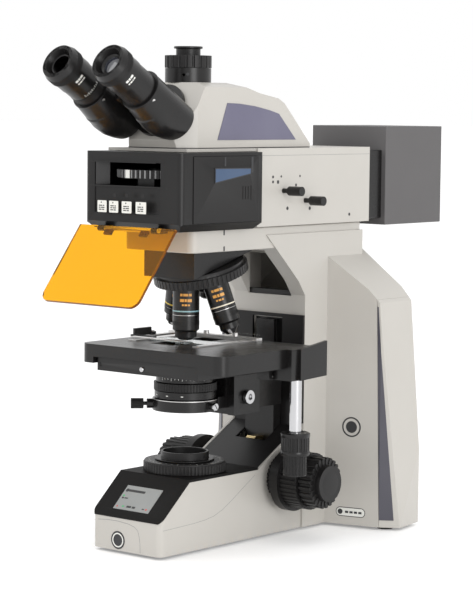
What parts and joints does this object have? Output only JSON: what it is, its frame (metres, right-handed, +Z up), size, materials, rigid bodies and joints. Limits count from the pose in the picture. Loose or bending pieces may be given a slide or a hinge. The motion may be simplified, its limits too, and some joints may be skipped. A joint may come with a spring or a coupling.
{
  "type": "microscope",
  "caption": "Upright binocular laboratory microscope with an incident fluorescence unit, lamp house, mechanical stage, five-place nosepiece, condenser and coaxial focus.",
  "frame": {"origin": "on the table, under the optical axis of the objective in use", "axes": "+Z up along the optical axis, -Y towards the user and the eyepieces, +X to the user's right"},
  "size_m": [0.2605, 0.5515, 0.5138],
  "materials": {
    "paint_white": "satin",
    "plastic_black": "satin",
    "metal_black": "anodised satin",
    "grip_black": "matte",
    "rubber": "matte",
    "chrome": "polished",
    "steel": "ground",
    "aluminium": "machined",
    "brass": "machined",
    "glass": "clear",
    "amber": "clear amber acrylic",
    "violet": "satin",
    "display": "matte grey",
    "lamp_grey": "satin",
    "steel_plate": "matte"
  },
  "bodies": {
    "stand": {"base_shell": "paint_white", "base_deck": "plastic_black", "column_liner": "plastic_black", "display_screen": "display", "bottom_plate": "steel_plate", "feet": "rubber", "column_shell": "paint_white", "rear_cover": "paint_white", "side_inlays": "violet", "upper_arm": "paint_white", "illuminator_box": "paint_white", "module_housing": "plastic_black", "lamp_collar": "metal_black", "lamp_house": "lamp_grey", "lamp": "glass", "head_body": "paint_white", "hub_disc": "metal_black", "photo_tube": "metal_black", "power_inlet": "plastic_black", "led_module": "aluminium", "field_lens": "glass", "focus_rail": "steel", "nosepiece_mount": "metal_black", "screws": "steel", "filter_holder": "plastic_black"},
    "switch": {"power_switch": "plastic_black"},
    "door": {"side_door": "plastic_black"},
    "filter_carousel": {"filter_wheel": "metal_black"},
    "front_rod": {"slider_rod_front": "metal_black"},
    "rear_rod": {"slider_rod_rear": "metal_black"},
    "shield": {"amber_shield": "amber"},
    "clamp_ring": {"photo_clamp_ring": "metal_black"},
    "cap": {"photo_cap": "plastic_black"},
    "left_tube": {"left_carrier": "metal_black", "left_eyepiece": "grip_black"},
    "right_tube": {"right_carrier": "metal_black", "right_eyepiece": "grip_black"},
    "diopter": {"diopter_ring": "grip_black"},
    "nosepiece": {"turret": "metal_black", "objectives": "metal_black"},
    "lift": {"stage_carriage": "metal_black", "focus_rack": "brass", "stage_lower_plate": "metal_black"},
    "clamp_screw": {"bracket_screw": "chrome"},
    "stage": {"stage_top_plate": "metal_black", "stage_tube": "chrome"},
    "y_knob": {"stage_y_knob": "grip_black"},
    "x_knob": {"stage_x_knob": "grip_black"},
    "holder": {"slide_holder": "steel", "glass_slide": "glass"},
    "finger": {"slide_finger": "metal_black"},
    "condenser": {"condenser_fork": "metal_black", "condenser_body": "metal_black"},
    "iris_ring": {"aperture_ring": "grip_black"},
    "centring": {"centring_screw": "metal_black"},
    "field_iris": {"field_ring": "grip_black"},
    "tension": {"tension_ring": "grip_black"},
    "coarse": {"coarse_knobs": "grip_black", "coarse_shaft": "steel"},
    "fine": {"fine_knobs": "grip_black"}
  },
  "joints": [
    {"name": "switch_rock", "type": "hinge", "parent": "stand", "child": "switch", "pos_m": [0.028, 0.2455, 0.034], "axis": [1, 0, 0], "range_deg": [-8, 8]},
    {"name": "door_slide", "type": "slide", "parent": "stand", "child": "door", "axis": [0, 1, 0], "range_m": [0, 0.03]},
    {"name": "filter_wheel_turn", "type": "hinge", "parent": "stand", "child": "filter_carousel", "pos_m": [0, -0.026, 0.38], "axis": [0, 0, 1], "continuous": true},
    {"name": "front_rod_slide", "type": "slide", "parent": "stand", "child": "front_rod", "axis": [1, 0, 0], "range_m": [0, 0.015]},
    {"name": "rear_rod_slide", "type": "slide", "parent": "stand", "child": "rear_rod", "axis": [1, 0, 0], "range_m": [0, 0.015]},
    {"name": "shield_tilt", "type": "hinge", "parent": "stand", "child": "shield", "pos_m": [0, -0.088, 0.3292], "axis": [1, 0, 0], "range_deg": [-50, 15]},
    {"name": "clamp_ring_turn", "type": "hinge", "parent": "stand", "child": "clamp_ring", "pos_m": [0, 0, 0.497], "axis": [0, 0, 1], "range_deg": [-30, 30]},
    {"name": "cap_lift", "type": "slide", "parent": "stand", "child": "cap", "axis": [0, 0, 1], "range_m": [0, 0.03]},
    {"name": "right_tube_swing", "type": "hinge", "parent": "stand", "child": "right_tube", "pos_m": [0, -0.0403, 0.4473], "axis": [0, -0.866, 0.5], "range_deg": [-21, 24]},
    {"name": "left_tube_swing", "type": "hinge", "parent": "stand", "child": "left_tube", "pos_m": [0, -0.0403, 0.4473], "axis": [0, -0.866, 0.5], "range_deg": [-25, 22]},
    {"name": "diopter_turn", "type": "hinge", "parent": "left_tube", "child": "diopter", "pos_m": [-0.0334, -0.11397, 0.4709], "axis": [0, -0.866, 0.5], "range_deg": [-150, 150]},
    {"name": "nosepiece_turn", "type": "hinge", "parent": "stand", "child": "nosepiece", "pos_m": [0, 0.02365, 0.278], "axis": [0, -0.2756, 0.9613], "continuous": true},
    {"name": "stage_lift", "type": "slide", "parent": "stand", "child": "lift", "axis": [0, 0, 1], "range_m": [-0.022, 0.0008]},
    {"name": "clamp_screw_turn", "type": "hinge", "parent": "lift", "child": "clamp_screw", "pos_m": [0.035, 0.058, 0.15062], "axis": [1, 0, 0], "range_deg": [-60, 60]},
    {"name": "stage_y", "type": "slide", "parent": "lift", "child": "stage", "axis": [0, 1, 0], "range_m": [-0.03, 0.02]},
    {"name": "y_knob_turn", "type": "hinge", "parent": "stage", "child": "y_knob", "pos_m": [0.115, 0.039, 0.11], "axis": [0, 0, 1], "range_deg": [-220, 150]},
    {"name": "x_knob_turn", "type": "hinge", "parent": "stage", "child": "x_knob", "pos_m": [0.115, 0.039, 0.09], "axis": [0, 0, 1], "range_deg": [-220, 220]},
    {"name": "stage_x", "type": "slide", "parent": "stage", "child": "holder", "axis": [1, 0, 0], "range_m": [-0.03, 0.028]},
    {"name": "finger_open", "type": "hinge", "parent": "holder", "child": "finger", "pos_m": [-0.066, 0.022, 0.212], "axis": [0, 0, 1], "range_deg": [-30, 0], "stiffness_Nm_per_rad": 0.02, "springref_deg": 8.59},
    {"name": "condenser_lift", "type": "slide", "parent": "lift", "child": "condenser", "axis": [0, 0, 1], "range_m": [-0.018, 0]},
    {"name": "iris_turn", "type": "hinge", "parent": "condenser", "child": "iris_ring", "pos_m": [0, 0, 0.165], "axis": [0, 0, 1], "range_deg": [-45, 45]},
    {"name": "centring_turn", "type": "hinge", "parent": "condenser", "child": "centring", "pos_m": [-0.02546, -0.02546, 0.14612], "axis": [-0.7071, -0.7071, 0], "range_deg": [-180, 180]},
    {"name": "field_ring_turn", "type": "hinge", "parent": "stand", "child": "field_iris", "pos_m": [0, 0, 0.08], "axis": [0, 0, 1], "range_deg": [-60, 60]},
    {"name": "tension_turn", "type": "hinge", "parent": "stand", "child": "tension", "pos_m": [0.05, 0.102, 0.062], "axis": [1, 0, 0], "range_deg": [-30, 30]},
    {"name": "coarse_turn", "type": "hinge", "parent": "stand", "child": "coarse", "pos_m": [0, 0.102, 0.062], "axis": [1, 0, 0], "range_deg": [-215, 10]},
    {"name": "fine_turn", "type": "hinge", "parent": "stand", "child": "fine", "pos_m": [0, 0.102, 0.062], "axis": [1, 0, 0], "continuous": true}
  ],
  "couplings": [
    {"joint": "left_tube_swing", "follows": "right_tube_swing", "ratio": -1},
    {"joint": "coarse_turn", "follows": "stage_lift", "rad_per_m": 166.67},
    {"joint": "y_knob_turn", "follows": "stage_y", "rad_per_m": 125},
    {"joint": "x_knob_turn", "follows": "stage_x", "rad_per_m": 125}
  ]
}
